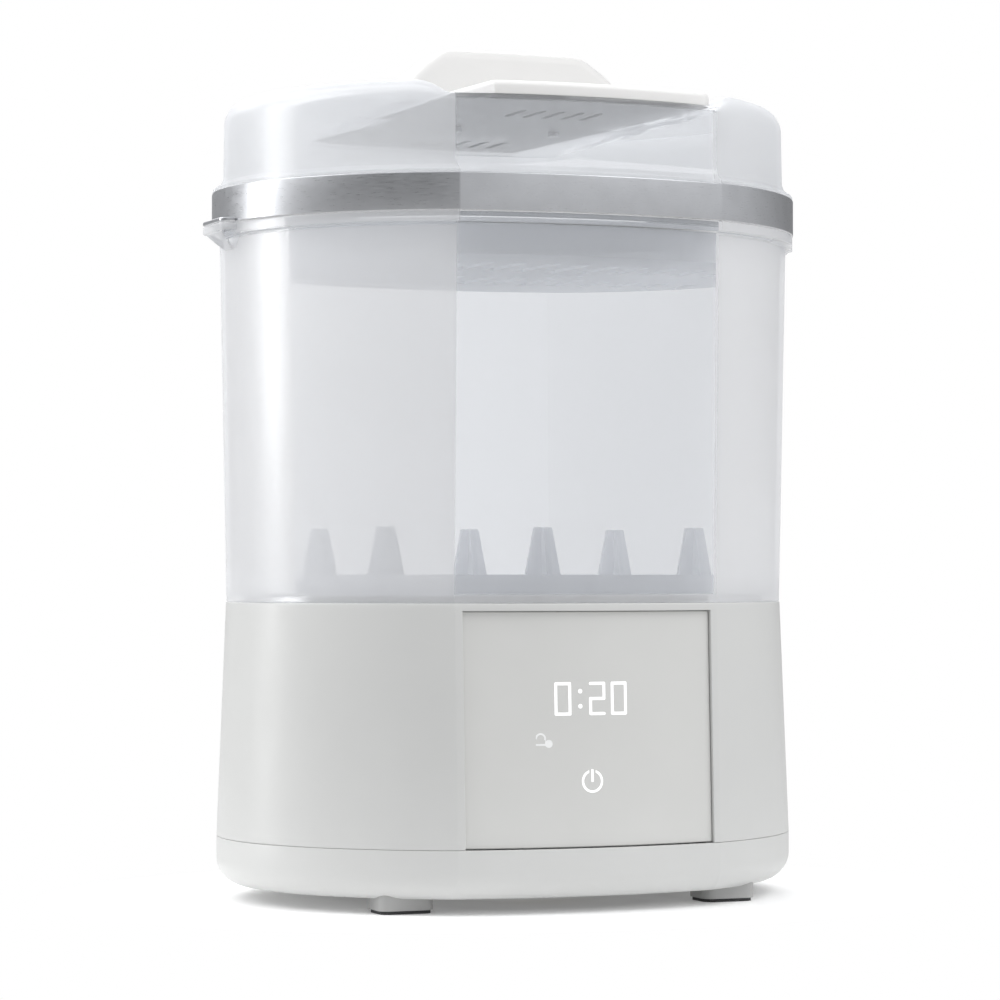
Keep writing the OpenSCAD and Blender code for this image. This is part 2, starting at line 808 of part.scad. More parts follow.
module power_cord() {
    color(white) translate([0, 0, cord_z]) {
        translate([-turn_r / 2, 0, 0]) half_turn(turn_r / 2);
        for (i = [0 : 3]) translate([i % 2 == 0 ? 0 : -turn_pitch / 2, 0, 0]) rotate(i % 2 == 0 ? 180 : 0)
            half_turn(turn_r + i * turn_pitch / 2);
        translate([cord_end[0], 0, 0]) rotate([90, 0, 0]) cylinder(h = -cord_start_y, d = cord_d, $fn = 32);
        translate([cord_end[0], cord_start_y, cord_bend]) rotate([0, 90, 0]) rotate([0, 0, -90])
            rotate_extrude(angle = 90) translate([cord_bend, 0]) circle(d = cord_d, $fn = 32);
        translate([cord_end[0], cord_end[1], cord_bend])
            cylinder(h = cord_rise - cord_bend, d = cord_d, $fn = 32);
    }
}

module strain_relief() {
    color(warm_grey) translate([cord_end[0], cord_end[1], 0]) difference() {
        union() {
            translate([0, 0, well_roof_z - 0.1]) cylinder(h = 2.7, r = 5);
            translate([0, 0, well_roof_z + 2.5 + snug]) cylinder(h = 10, r1 = 7, r2 = 4.6);
        }
        cylinder(h = 60, d = cord_d + 2 * snug);
    }
}

module plug() {
    color(white) translate([0, 0, cord_z]) difference() {
        union() {
            translate([0, -36, 0]) rotate([-90, 0, 0]) linear_extrude(24) rounded(34, 12, 4);
            translate([0, -12, 0]) rotate([-90, 0, 0]) cylinder(h = 12, r1 = 4.4, r2 = 4);
        }
        for (s = [-1, 1]) translate([s * 9.5, -37, 0]) rotate([-90, 0, 0]) cylinder(h = 9, r = 2);
        rotate([90, 0, 0]) translate([0, 0, -1]) cylinder(h = 11, d = cord_d);
    }
}

module plug_pins() {
    color([0.8, 0.72, 0.5]) for (s = [-1, 1]) translate([s * 9.5, -28.2, cord_z]) rotate([90, 0, 0])
        cylinder(h = 26, r = 2);
}

// ---------------------------------------------------------------- chamber and racks

module side_lug(z0, z1) {
    for (s = [-1, 1]) translate([s * (lug_x - 8), 0, z0]) linear_extrude(z1 - z0) rounded(16, 2 * lug_half, 4);
}

module chamber() {
    outer = [[chamber_w0, base_z], [chamber_w1, rim_under_z], [rim_w, rim_under_z + 1.5], [rim_w, rim_z]];
    inner = [[chamber_w0 - clear_wall, rack_z - fit], [chamber_w1 - clear_wall, tray_shelf_z],
        [rim_w - 3, tray_shelf_z], [rim_w - 3, rim_z + 1]];
    color(clear) difference() {
        union() {
            form(outer);
            side_lug(rim_z - 4, rim_z - 0.2);
            // Gusset under each lug
            for (s = [-1, 1]) along_y(2 * lug_half - 8)
                polygon([[s * 130.5, rim_z - 11], [s * 138.5, rim_z - 4], [s * 130.5, rim_z - 4]]);
        }
        form(inner);
        form([[spigot_w + 0.5, base_z - 1], [spigot_w + 0.5, base_z + 4]]);
    }
}

module bottle_place() {
    ring_r = 23;
    difference() {
        translate([0, 0, 1]) cylinder(h = rack_h - 3, r = ring_r + 2);
        cylinder(h = rack_h, r = ring_r);
    }
    for (a = [0, 90]) rotate(a) span([-ring_r - 1, -1.2, 1], [ring_r + 1, 1.2, rack_h - 3]);
    for (a = [0, 90]) rotate(a) translate([0, 0, rack_h - 4]) along_y(2.4)
        polygon([[-9, 0], [9, 0], [4, peg_h + 1], [-4, peg_h + 1]]);
}

module bottle_rack() {
    first = -(places_x - 1) / 2;
    color(white) translate([0, 0, rack_z]) {
        difference() {
            form([[rack_w, 0], [rack_w + 0.2, rack_h]]);
            form([[rack_w - 2.4, -1], [rack_w - 2.2, rack_h + 1]]);
        }
        for (i = [0 : places_x - 1], s = [-1, 1]) translate([(first + i) * place_pitch, s * place_y, 0])
            bottle_place();
        intersection() {
            form([[rack_w - 1, 1], [rack_w - 1, rack_h - 3]]);
            union() {
                for (s = [-1, 0, 1]) translate([0, s * place_y, 0])
                    span([-rack_w, -1.2, 1], [rack_w, 1.2, rack_h - 3]);
                for (i = [-3 : 3]) translate([i * place_pitch / 2, 0, 0])
                    span([-1.2, -face_y, 1], [1.2, face_y, rack_h - 3]);
            }
        }
    }
}

module accessory_tray() {
    t = 1.8;
    w0 = 125.4;
    w1 = 128;
    flange_w = rim_w - 3.3;
    color(clear) difference() {
        form([[w0, tray_floor_z], [w1, tray_shelf_z + fit], [flange_w, tray_shelf_z + fit],
            [flange_w, tray_shelf_z + 2]]);
        form([[w0 - t, tray_floor_z + 2.2], [w1 - t, tray_shelf_z + 3]]);
        // Drain slots
        for (i = [-7 : 7], sy = [-1, 1]) let (half = 22 - abs(i) * 1.4)
            translate([i * 15, sy * 36, tray_floor_z]) span([-3, -half, -1], [3, half, 4]);
        for (s = [-1, 1]) translate([s * 30, 0, tray_floor_z - 1]) cylinder(h = 5, r = 8);
    }
}

// ---------------------------------------------------------------- lid

// The trough between the pods that takes the handle plate, deepened by t for the inside
module channel(t) {
    along_y(body_w) difference() {
        translate([-channel_x - inner_r, channel_z - t]) square([2 * (channel_x + inner_r), 40]);
        for (s = [-1, 1]) translate([s * (channel_x + inner_r), pod_z - inner_r]) circle(inner_r - t);
    }
}

// A steam slot through the lid's shell and the handle plate
module lid_vent(i, side, z) {
    span([i * 9 - 1.5, side * vent_y - vent_half, z - 5], [i * 9 + 1.5, side * vent_y + vent_half, z + 10]);
}

module lid_shell() {
    t = clear_wall;
    shell_z = band_shelf_z + snug;
    flange_z = band_top_z + snug;
    flange_w = half_w - 0.3;
    outer = concat([[skirt_w, shell_z], [skirt_w, flange_z], [flange_w, flange_z], [flange_w, flange_z + 1.4],
        [lid_w + 1.8, flange_z + 3.6], [lid_w + 0.4, flange_z + 7]],
        arc(lid_w - pod_r, pod_z - pod_r, pod_r, 0, 90));
    inner = concat([[skirt_w - t, shell_z - 1], [skirt_w - t, flange_z + 2], [lid_w + 0.4 - t, flange_z + 7]],
        arc(lid_w - pod_r, pod_z - pod_r, pod_r - t, 0, 90));
    color(frost) difference() {
        form(outer);
        channel(0);
        difference() {
            form(inner);
            channel(t);
        }
        for (s = [-1, 1]) translate([s * 24, 0, channel_z - 10]) cylinder(h = 20, r = 1.8);
        for (i = [-2 : 2], s = [-1, 1]) lid_vent(i, s, channel_z);
    }
}

// The ring round the lid. The lid's shell stands on its shelf, and its lip locates in the chamber's rim.
module lid_band() {
    lip_w = skirt_w - clear_wall;
    color(band_grey) difference() {
        union() {
            form([[skirt_w, rim_z - 2], [skirt_w, rim_z + 1]]);
            form([[band_w, rim_z + fit], [band_w, band_top_z]]);
            side_lug(rim_z + fit, rim_z + fit + 1.8);
        }
        form([[lip_w, rim_z - 3], [lip_w, band_shelf_z], [skirt_w + snug, band_shelf_z],
            [skirt_w + snug, band_top_z + 1]]);
    }
}

module handle_plate() {
    corner = 12;
    w = 2 * channel_x - 0.6;
    z0 = channel_z + snug;
    color(white) difference() {
        intersection() {
            translate([0, 0, z0]) linear_extrude(plate_top_z - z0) rounded(w, 2 * plate_y, corner);
            form([[lid_w, z0 - 1], [lid_w, plate_top_z + 1]]);
        }
        for (s = [-1, 1]) translate([s * 24, 0, z0 - 1]) cylinder(h = 20, r = 1.8);
        for (i = [-2 : 2], s = [-1, 1]) lid_vent(i, s, z0);
    }
}

// Outline of the grip's front: a low trapezoid with a curved foot and a rounded top edge
function grip_end() = concat(
    [[58, plate_top_z + snug], [54.5, 361], [49, 367.5], [43.5, 373]],
    arc(28, grip_z - 14, 14, 48, 90));

module grip() {
    side = grip_end();
    outline = concat(side, [for (i = [len(side) - 1 : -1 : 0]) [-side[i][0], side[i][1]]]);
    color(white) difference() {
        intersection() {
            along_y(60) polygon(outline);
            rotate([90, 0, 90]) linear_extrude(140, center = true)
                polygon(concat([[-18, plate_top_z]], [for (p = arc(-9, grip_z - 5, 5, 180, 90)) p],
                    [for (p = arc(9, grip_z - 5, 5, 90, 0)) p], [[18, plate_top_z]]));
        }
        // Hollow underneath, with two screw posts
        difference() {
            span([-44, -11, plate_top_z - 1], [44, 11, 366]);
            for (s = [-1, 1]) translate([s * 24, 0, plate_top_z - 1]) cylinder(h = 20, r = 5);
        }
        for (s = [-1, 1]) translate([s * 24, 0, plate_top_z - 1]) cylinder(h = 13, r = 1.3);
    }
}

module grip_screws() {
    z = channel_z - clear_wall - 0.02;
    color(steel) for (s = [-1, 1]) translate([s * 24, 0, z]) screw(2.5, 17);
}

lower_housing();
base_shell();
front_panel();
display_digits();
mode_symbol();
power_symbol();
display_board();
led_module();
touch_foam();
buzzer();
ribbon_cable();
power_board();
transformer();
relay();
capacitors();
heater_dish();
dish_gasket();
heat_spreader();
heating_element();
thermostat();
thermal_fuse();
heater_bracket();
heater_leads();
mains_leads();
fan_housing();
fan_motor();
fan_shaft();
fan_impeller();
air_heater();
outlet_gasket();
outlet_cap();
intake_duct();
filter_frame();
filter_media();
filter_cover();
feet();
foot_soles();
housing_screws();
board_screws();
deck_screws();
power_cord();
strain_relief();
plug();
plug_pins();
chamber();
bottle_rack();
accessory_tray();
lid_shell();
lid_band();
handle_plate();
grip();
grip_screws();
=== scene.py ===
# Bottle steriliser: the looks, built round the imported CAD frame. Lengths in this script are in millimetres
# until a mesh is made, and the object stands on the table with its control panel facing -Y.
import math

import bmesh
import bpy
import numpy as np
from mathutils import Matrix, Vector


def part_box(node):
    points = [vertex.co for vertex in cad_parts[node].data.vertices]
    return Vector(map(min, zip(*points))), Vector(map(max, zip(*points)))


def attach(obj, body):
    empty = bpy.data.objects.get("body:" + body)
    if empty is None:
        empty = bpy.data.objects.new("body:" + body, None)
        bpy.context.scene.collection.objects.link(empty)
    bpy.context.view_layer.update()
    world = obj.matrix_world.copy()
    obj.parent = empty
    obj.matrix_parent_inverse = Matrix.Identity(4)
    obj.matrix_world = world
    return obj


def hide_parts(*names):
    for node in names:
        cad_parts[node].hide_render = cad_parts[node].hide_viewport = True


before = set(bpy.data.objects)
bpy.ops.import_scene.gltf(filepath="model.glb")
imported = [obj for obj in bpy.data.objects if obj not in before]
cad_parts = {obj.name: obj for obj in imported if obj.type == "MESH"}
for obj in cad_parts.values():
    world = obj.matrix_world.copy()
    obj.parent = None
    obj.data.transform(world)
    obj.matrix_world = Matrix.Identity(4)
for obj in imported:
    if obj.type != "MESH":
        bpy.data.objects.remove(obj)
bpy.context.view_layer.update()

MM = 0.001


def low(node):
    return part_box(node)[0] / MM


def high(node):
    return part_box(node)[1] / MM


# ---------------------------------------------------------------- driving values

# The plan: two oval sides joined by a bowed front and a bowed back
FACE_Y = high("lid_band").y
BAND_W = 135
SIDE_RATIO = 224.4 / 270
FACE_R = 236
CREASE_X = 61.3

# Half widths at the heights where one moulding ends
BUMPER_W = high("lower_housing").x
DECK_W = 128.3
CHAMBER_LOW_W = 128.1
CHAMBER_HIGH_W = 131.4
RIM_W = 134.6
SKIRT_W = 130.2
FLANGE_W = BAND_W - 0.3
LID_W = 129.4

# Heights
GROUND_GAP = low("lower_housing").z
SEAM_Z = 27.7
DECK_Z = low("chamber").z
RIM_Z = high("chamber").z
BAND_Z = high("lid_band").z
POD_Z = high("lid_shell").z
CHANNEL_Z = low("handle_plate").z
PLATE_Z = high("handle_plate").z
GRIP_Z = high("grip").z
SHELF_Z = RIM_Z + 1.7     # the band's shelf, on which the lid's shell stands

WALL = 3
CLEAR_WALL = 2.2
LUG_X = high("chamber").x
PANEL_X = high("front_panel").x
PANEL_LOW = low("front_panel").z
PANEL_HIGH = high("front_panel").z

CROWD = 0.5      # distance of the extra columns beside a crease, which keep it crisp
RENDER_WHITE = (1.0, 1.0, 1.0, 1)
MILK = (0.95, 0.96, 0.98, 1)    # the cloudy part of see-through plastic


# ---------------------------------------------------------------- outlines and meshes


def crease_y(w):
    """Distance from the middle to the crease, for a half width."""
    return SIDE_RATIO * math.sqrt(w * w - CREASE_X**2)


def face_y(w, x):
    """Distance from the middle to the bowed front or back at x, for a half width."""
    return crease_y(w) + math.sqrt(FACE_R**2 - x * x) - math.sqrt(FACE_R**2 - CREASE_X**2)


def spread(a, b, count):
    return [a + (b - a) * i / count for i in range(count + 1)]


def columns(extra=(), count=20):
    """Places along a bowed face from crease to crease, crowded at the creases and with any extra ones."""
    edge = CREASE_X - CROWD
    return sorted(set([-CREASE_X, CREASE_X] + spread(-edge, edge, count) + list(extra)))


def side_angles(w, count=40):
    """Angles round an oval side from its front crease to its back crease, crowded near the creases."""
    limit = math.acos(CREASE_X / w)
    return [-limit * math.cos(math.pi * i / count) for i in range(1, count)]


class Plan:
    """The steriliser's outline seen from above, as columns of points that every height shares."""

    def __init__(self, front=None, back=None, sink_front=None, sink_back=None):
        self.front = front or columns()
        self.back = back or self.front
        self.sink_front = sink_front or (lambda w, x, z: 0)
        self.sink_back = sink_back or (lambda w, x, z: 0)

    def ring(self, w, z):
        angles = side_angles(w)
        front = [(x, -face_y(w - self.sink_front(w, x, z), x), z) for x in self.front]
        right = [(w * math.cos(a), SIDE_RATIO * w * math.sin(a), z) for a in angles]
        back = [(x, face_y(w - self.sink_back(w, x, z), x), z) for x in reversed(self.back)]
        left = [(-x, -y, z) for x, y, z in right]
        return front + right + back + left


def rounded(points, steps=4):
    """A path through (a, b, radius) points whose corners are arcs of that radius."""
    path = []
    for i, (a, b, radius) in enumerate(points):
        corner = Vector((a, b))
        if not radius:
            path.append((a, b))
            continue
        before = (Vector(points[i - 1][:2]) - corner).normalized()
        after = (Vector(points[(i + 1) % len(points)][:2]) - corner).normalized()
        half = before.angle(after) / 2
        centre = corner + (before + after).normalized() * radius / math.sin(half)
        reach = radius / math.tan(half)
        start = corner + before * reach - centre
        end = corner + after * reach - centre
        turn = start.angle_signed(end)
        first = math.atan2(start.y, start.x)
        for k in range(steps + 1):
            angle = first - turn * k / steps
            path.append((centre.x + radius * math.cos(angle), centre.y + radius * math.sin(angle)))
    return path


def arc(a, b, radius, start, end, steps=8):
    """Points of an arc round (a, b), from one angle to another in degrees."""
    angles = [math.radians(d) for d in spread(start, end, steps)]
    return [(a + radius * math.cos(t), b + radius * math.sin(t)) for t in angles]


class Mesh:
    """Points and faces in millimetres, which become one Blender object."""

    def __init__(self):
        self.points = []
        self.faces = []

    def add(self, points):
        first = len(self.points)
        self.points += [tuple(p) for p in points]
        return list(range(first, len(self.points)))

    def strip(self, a, b, closed=True):
        """Joins two rows of points by quads."""
        for i in range(len(a) if closed else len(a) - 1):
            k = (i + 1) % len(a)
            self.faces.append((a[i], a[k], b[k], b[i]))

    def loft(self, rings, closed=False, caps=False):
        """Joins rings of points one after the other, and closes the ends with caps or with each other."""
        rows = [self.add(r) for r in rings]
        for a, b in zip(rows, rows[1:]):
            self.strip(a, b)
        if closed:
            self.strip(rows[-1], rows[0])
        if caps:
            self.faces += [tuple(reversed(rows[0])), tuple(rows[-1])]
        return rows

    def build(self, name):
        mesh = bpy.data.meshes.new(name)
        mesh.from_pydata([tuple(c * MM for c in p) for p in self.points], [], self.faces)
        obj = bpy.data.objects.new(name, mesh)
        bpy.context.scene.collection.objects.link(obj)
        clean(obj)
        return obj


def clean(obj):
    """Joins points that coincide and turns every face outwards."""
    work = bmesh.new()
    work.from_mesh(obj.data)
    bmesh.ops.remove_doubles(work, verts=work.verts, dist=0.002 * MM)
    bmesh.ops.recalc_face_normals(work, faces=work.faces)
    work.to_mesh(obj.data)
    work.free()


def block(a, b):
    """A box between two corners, for cutting."""
    body = Mesh()
    outline = [(a[0], a[1]), (b[0], a[1]), (b[0], b[1]), (a[0], b[1])]
    body.loft([[(x, y, z) for x, y in outline] for z in (a[2], b[2])], caps=True)
    return body.build("cutter")


def rod(x, y, z0, z1, radius, count=64, half_length=0):
    """An upright cylinder for cutting. With a half length, it is drawn out along Y into a slot."""
    body = Mesh()
    outline = []
    for i in range(count):
        turn = 2 * math.pi * i / count
        shift = math.copysign(half_length, math.sin(turn + 1e-9))
        outline.append((x + radius * math.cos(turn), y + radius * math.sin(turn) + shift))
    body.loft([[(a, b, z) for a, b in outline] for z in (z0, z1)], caps=True)
    return body.build("cutter")


def lug(side, z0, z1, edge=0.7, half_length=15, corner=4, gusset=0):
    """A fin that stands out of the side, with rounded corners and edges and with a gusset under it."""
    inner = LUG_X - 12
    body = Mesh()
    rings = []
    foot = [(8, z0 - gusset, 0)] if gusset else []
    for inset, z in rounded(foot + [(1.5, z0, 0), (0, z0, edge), (0, z1, edge), (1.5, z1, 0)]):
        outline = [(inner, -half_length + inset)]
        far = LUG_X - corner - max(0, inset - 2)
        near = half_length - corner - max(0, inset - 2)
        outline += arc(far, -near, max(2, corner - inset), -90, 0)
        outline += arc(far, near, max(2, corner - inset), 0, 90)
        outline.append((inner, half_length - inset))
        rings.append([(side * x, y, z) for x, y in outline])
    body.loft(rings, caps=True)
    return body.build("lug")


def combine(obj, others, operation="DIFFERENCE"):
    """Cuts other solids out of obj, or joins them to it, and removes them."""
    for other in others:
        step = obj.modifiers.new("combine", "BOOLEAN")
        step.operation = operation
        step.solver = "EXACT"
        step.object = other
    graph = bpy.context.evaluated_depsgraph_get()
    mesh = bpy.data.meshes.new_from_object(obj.evaluated_get(graph))
    obj.modifiers.clear()
    obj.data = mesh
    for other in others:
        bpy.data.objects.remove(other)
    clean(obj)


def shade(obj, angle=28):
    obj.data.shade_smooth()
    obj.data.set_sharp_from_angle(angle=math.radians(angle))


def finish_piece(obj, body, nodes, material, inside=None):
    """Shades a new piece, lets it ride on its body in place of its CAD nodes, and gives it its material.

    Faces that look towards the middle of the object take the inside material, if there is one.
    """
    shade(obj)
    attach(obj, body)
    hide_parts(*nodes)
    obj.data.materials.clear()
    obj.data.materials.append(material)
    if inside:
        obj.data.materials.append(inside)
        for face in obj.data.polygons:
            outward = Vector((face.center.x, face.center.y, 0)).normalized() + Vector((0, 0, 1))
            face.material_index = 1 if face.normal.dot(outward) < -0.05 else 0
    else:
        obj.data.polygons.foreach_set("material_index", [0] * len(obj.data.polygons))


# ---------------------------------------------------------------- materials


def node(tree, kind, inputs=None, **settings):
    """Adds a shader node. An input that is a socket is linked, anything else is set."""
    made = tree.nodes.new("ShaderNode" + kind)
    for key, value in settings.items():
        setattr(made, key, value)
    for key, value in (inputs or {}).items():
        if isinstance(value, bpy.types.NodeSocket):
            tree.links.new(value, made.inputs[key])
        else:
            made.inputs[key].default_value = value
    return made


def new_material(name):
    material = bpy.data.materials.new(name)
    material.use_nodes = True
    material.node_tree.nodes.clear()
    return material, material.node_tree


def close_material(tree, shader):
    out = node(tree, "OutputMaterial")
    tree.links.new(shader, out.inputs["Surface"])


def place(tree, stretch=(1, 1, 1)):
    """Object coordinates in millimetres."""
    coordinates = node(tree, "TexCoord").outputs["Object"]
    scale = tuple(s / MM for s in stretch)
    return node(tree, "Mapping", {"Vector": coordinates, "Scale": scale}).outputs["Vector"]


def grain(tree, size, detail=2.0, stretch=(1, 1, 1)):
    """Noise whose features are about that many millimetres across, from 0 to 1."""
    inputs = {"Vector": place(tree, stretch), "Scale": 1 / size, "Detail": detail}
    return node(tree, "TexNoise", inputs).outputs["Fac"]


def remap(tree, value, low_out, high_out, low_in=0.3, high_in=0.7):
    inputs = {0: value, 1: low_in, 2: high_in, 3: low_out, 4: high_out}
    return node(tree, "MapRange", inputs).outputs[0]


def smooth_step(tree, value, start, end):
    """0 below start, 1 above end, and a smooth rise between them."""
    inputs = {0: value, 1: start, 2: end, 3: 0, 4: 1}
    return node(tree, "MapRange", inputs, interpolation_type="SMOOTHSTEP").outputs[0]


def tinted(tree, colour, variation, size):
    """A colour that drifts a little over the surface."""
    fac = remap(tree, grain(tree, size, 3.0), 0, 1)
    dark = tuple(c * (1 - variation) for c in colour)
    light = tuple(min(1, c * (1 + variation)) for c in colour)
    inputs = {"Factor": fac, "A": dark + (1,), "B": light + (1,)}
    return node(tree, "Mix", inputs, data_type="RGBA").outputs["Result"]


def relief(tree, height, distance, strength=1.0):
    inputs = {"Height": height, "Distance": distance * MM, "Strength": strength}
    return node(tree, "Bump", inputs).outputs["Normal"]


def plastic(name, colour, rough=0.4, texture=0.35, depth=0.012, sheen=0.0, soft=0.0, reach=4, drift=0.012):
    """Moulded plastic: a fine spark-eroded texture, a slight drift of colour and uneven gloss.

    Light spreads in soft plastic as far as reach, in millimetres.
    """
    material, tree = new_material(name)
    inputs = {
        "Base Color": tinted(tree, colour, drift, 38),
        "Roughness": remap(tree, grain(tree, 9, 3.0), rough - 0.05, rough + 0.05),
        "Normal": relief(tree, grain(tree, texture, 2.0), depth),
        "IOR": 1.49,
        "Subsurface Weight": soft,
        "Subsurface Radius": (reach * MM,) * 3,
        "Coat Weight": sheen,
        "Coat Roughness": 0.12,
    }
    close_material(tree, node(tree, "BsdfPrincipled", inputs).outputs[0])
    return material


def metal(name, colour, rough=0.3, stretch=(1, 1, 1), size=0.5, depth=0.004):
    """Metal with a fine brushed grain, drawn out by stretch."""
    material, tree = new_material(name)
    brushed = grain(tree, size, 4.0, stretch)
    inputs = {
        "Base Color": tinted(tree, colour, 0.04, 12),
        "Metallic": 1.0,
        "Roughness": remap(tree, brushed, rough - 0.07, rough + 0.09),
        "Normal": relief(tree, brushed, depth),
    }
    close_material(tree, node(tree, "BsdfPrincipled", inputs).outputs[0])
    return material


def gloss_over(tree, under, normal, rough):
    """A clear glossy surface over another shader."""
    gloss = node(tree, "BsdfGlossy", {"Color": RENDER_WHITE, "Roughness": rough, "Normal": normal}).outputs[0]
    edge = node(tree, "Fresnel", {"IOR": 1.45, "Normal": normal}).outputs[0]
    return node(tree, "MixShader", {0: edge, 1: under, 2: gloss}).outputs[0]


def clear_plastic(tree, tint, haze, rough=0.06):
    """Clear polypropylene: nearly straight through, a little milky, with slow ripples in its gloss."""
    through = node(tree, "BsdfTransparent", {"Color": tint + (1,)}).outputs[0]
    glow = node(tree, "BsdfTranslucent", {"Color": MILK}).outputs[0]
    cloud = node(tree, "BsdfDiffuse", {"Color": MILK}).outputs[0]
    milk = node(tree, "MixShader", {0: 0.5, 1: glow, 2: cloud}).outputs[0]
    hazy = node(tree, "MixShader", {0: haze, 1: through, 2: milk}).outputs[0]
    return gloss_over(tree, hazy, relief(tree, grain(tree, 45, 1.0), 0.2), rough)


def clear_inside(name, tint, haze=0.03, rough=0.35):
    """The inner face of a see-through moulding, which is polished all over."""
    material, tree = new_material(name)
    close_material(tree, clear_plastic(tree, tint, haze, rough))
    return material


def moulded(name, tint, frost_colour, frost_see, foot, haze=0.05):
    """The outer face of a see-through moulding: frosted, but clear in front between the creases.

    Below the height foot it is frosted in front too.
    """
    material, tree = new_material(name)
    split = node(tree, "SeparateXYZ", {0: place(tree)})
    across = node(tree, "Math", {0: split.outputs["X"]}, operation="ABSOLUTE").outputs[0]
    sides = remap(tree, across, 0, 1, CREASE_X - 0.3, CREASE_X + 0.3)
    below = remap(tree, split.outputs["Z"], 1, 0, foot, foot + 0.4)
    behind = remap(tree, split.outputs["Y"], 0, 1, 0, 0.4)
    edges = node(tree, "Math", {0: sides, 1: below}, operation="MAXIMUM").outputs[0]
    frosted = node(tree, "Math", {0: edges, 1: behind}, operation="MAXIMUM").outputs[0]
    clear = clear_plastic(tree, tint, haze)
    texture = relief(tree, grain(tree, 0.3, 2.0), 0.02)
    colour = tinted(tree, frost_colour, 0.01, 50)
    skin = node(tree, "BsdfPrincipled", {
        "Base Color": colour,
        "Roughness": remap(tree, grain(tree, 12, 3.0), 0.40, 0.50),
        "Normal": texture,
        "IOR": 1.49,
    }).outputs[0]
    glow = node(tree, "BsdfTranslucent", {"Color": colour, "Normal": texture}).outputs[0]
    milk = node(tree, "MixShader", {0: 0.5, 1: skin, 2: glow}).outputs[0]
    through = node(tree, "BsdfTransparent", {"Color": (0.97, 0.975, 0.985, 1)}).outputs[0]
    frost = node(tree, "MixShader", {0: frost_see, 1: milk, 2: through}).outputs[0]
    close_material(tree, node(tree, "MixShader", {0: frosted, 1: clear, 2: frost}).outputs[0])
    return material


def light(name, colour, strength):
    """A lit window: even light that drifts a little over its face."""
    material, tree = new_material(name)
    power = remap(tree, grain(tree, 3, 1.0), strength * 0.95, strength * 1.05)
    inputs = {
        "Base Color": tinted(tree, (0.85, 0.86, 0.86), 0.02, 2),
        "Roughness": 0.3,
        "Emission Color": colour + (1,),
        "Emission Strength": power,
    }
    close_material(tree, node(tree, "BsdfPrincipled", inputs).outputs[0])
    return material


def paper(name):
    """Filter paper: matt, fibrous and slightly warm."""
    material, tree = new_material(name)
    fibres = grain(tree, 0.4, 6.0, (1, 1, 0.3))
    inputs = {
        "Base Color": tinted(tree, (0.82, 0.81, 0.76), 0.05, 0.8),
        "Roughness": 0.9,
        "Normal": relief(tree, fibres, 0.05),
    }
    close_material(tree, node(tree, "BsdfPrincipled", inputs).outputs[0])
    return material


